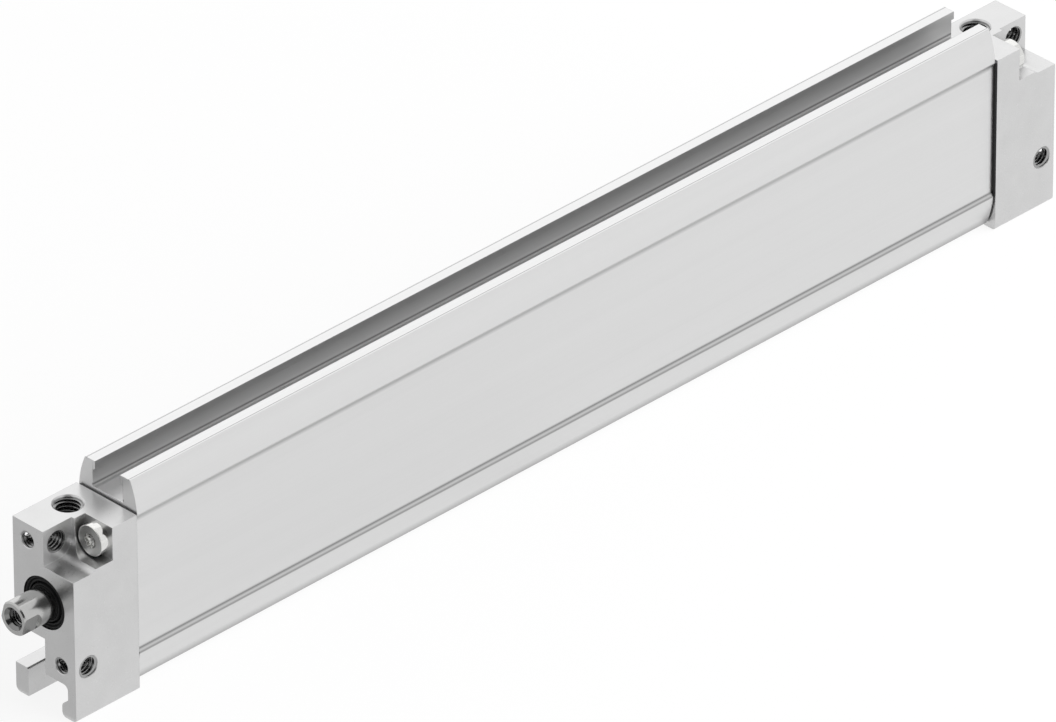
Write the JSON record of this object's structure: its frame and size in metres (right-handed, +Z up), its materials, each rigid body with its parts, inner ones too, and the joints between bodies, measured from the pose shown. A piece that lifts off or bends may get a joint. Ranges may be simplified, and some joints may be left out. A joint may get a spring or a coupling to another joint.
{
  "type": "flat pneumatic cylinder",
  "caption": "Flat double-acting pneumatic cylinder with an oblong piston, a slotted extruded barrel, machined end caps and a plain rod with a female thread.",
  "frame": {"origin": "on the rod axis at the bearing cap's front face", "axes": "+X out along the rod, +Y to the near side with the upper screw pockets, +Z up towards the ports"},
  "size_m": [0.2344, 0.014, 0.039],
  "materials": {
    "anodised_barrel": "clear anodised extrusion",
    "machined_cap": "milled and anodised",
    "plated_screw": "nickel plated",
    "polished_rod": "ground and polished stainless steel",
    "steel": "plain",
    "bronze_bush": "sintered",
    "black_rubber": "moulded",
    "slide_polymer": "turned",
    "magnet": "plastic bonded ferrite"
  },
  "bodies": {
    "housing": {"barrel_profile": "anodised_barrel", "bearing_cap": "machined_cap", "end_cap": "machined_cap", "front_gasket": "black_rubber", "rear_gasket": "black_rubber", "front_cap_screws": "plated_screw", "rear_cap_screws": "plated_screw", "rod_wiper": "black_rubber", "rod_bearing_bush": "bronze_bush", "rod_seal": "black_rubber", "seal_spacer": "steel", "front_bumper": "black_rubber", "rear_bumper": "black_rubber"},
    "rod": {"piston_rod": "polished_rod", "piston_front_half": "machined_cap", "piston_rear_half": "machined_cap", "piston_magnet": "magnet", "piston_seal_front": "black_rubber", "piston_seal_rear": "black_rubber", "guide_band_front": "slide_polymer", "guide_band_rear": "slide_polymer", "piston_nut": "plated_screw", "piston_o_ring": "black_rubber"}
  },
  "joints": [
    {"name": "rod_slide", "type": "slide", "parent": "housing", "child": "rod", "axis": [1, 0, 0], "range_m": [0, 0.16]}
  ]
}
